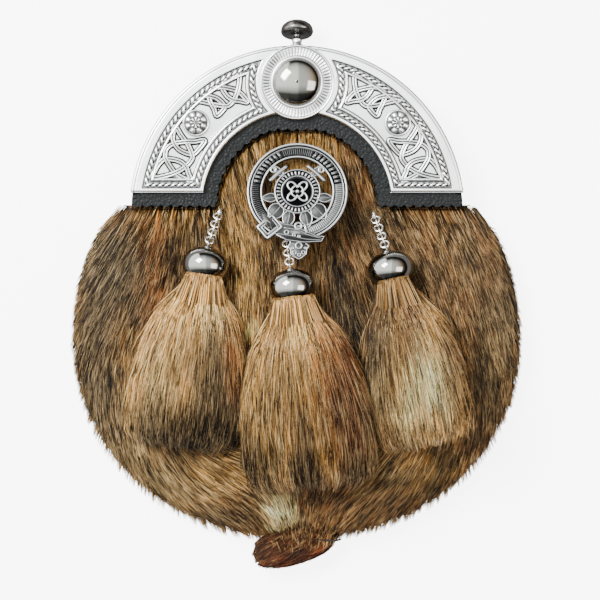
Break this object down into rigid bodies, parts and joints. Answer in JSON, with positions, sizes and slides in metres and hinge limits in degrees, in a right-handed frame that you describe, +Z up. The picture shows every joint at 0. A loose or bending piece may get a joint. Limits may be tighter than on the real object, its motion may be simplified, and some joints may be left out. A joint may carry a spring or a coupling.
{
  "type": "full-dress sporran pouch",
  "caption": "Fur belt pouch under a metal half-ring cantle, with a leather lip, a round strap badge, fur tassels in bells on short chains and a press knob.",
  "frame": {"origin": "middle of the footprint on the surface that the pouch's back lies on", "axes": "+Z up out of the pouch's front, +Y from the fur's bottom towards the press knob, +X to the right seen from the front"},
  "size_m": [0.206, 0.2544, 0.0582],
  "materials": {
    "body_fur": "long brindled fur, brown, ochre and black",
    "tassel_fur": "long combed fur, cream and tan at the top and dark at the tips",
    "tail_fur": "dark brown fur",
    "leather": "black grained leather, satin",
    "silver": "bright embossed plate, darker in the grooves",
    "nickel": "dark polished nickel",
    "pewter": "antique pewter, dark in the recesses"
  },
  "bodies": {
    "pouch": {"fur_body": "body_fur", "fur_tail": "tail_fur", "back_panel": "leather", "leather_lip": "leather", "cantle": "silver", "centre_dome": "nickel", "badge": "pewter", "boss_left": "silver", "boss_right": "silver", "strap_ring_left": "nickel", "strap_ring_right": "nickel", "strap_tab_left": "leather", "strap_tab_right": "leather", "tassel_left": "tassel_fur", "bell_left": "nickel", "chain_left_staple": "nickel", "chain_left_link_1": "nickel", "chain_left_link_2": "nickel", "chain_left_link_3": "nickel", "chain_left_link_4": "nickel", "chain_left_link_5": "nickel", "chain_left_link_6": "nickel", "chain_left_link_7": "nickel", "tassel_middle": "tassel_fur", "bell_middle": "nickel", "chain_middle_staple": "nickel", "chain_middle_link_1": "nickel", "chain_middle_link_2": "nickel", "chain_middle_link_3": "nickel", "chain_middle_link_4": "nickel", "chain_middle_link_5": "nickel", "tassel_right": "tassel_fur", "bell_right": "nickel", "chain_right_staple": "nickel", "chain_right_link_1": "nickel", "chain_right_link_2": "nickel", "chain_right_link_3": "nickel", "chain_right_link_4": "nickel", "chain_right_link_5": "nickel", "chain_right_link_6": "nickel", "chain_right_link_7": "nickel"},
    "knob": {"press_knob": "nickel"}
  },
  "joints": [
    {"name": "knob_press", "type": "slide", "parent": "pouch", "child": "knob", "axis": [0, -0.9397, 0.342], "range_m": [0, 0.0018], "stiffness_N_per_m": 400, "springref_m": -0.002}
  ]
}
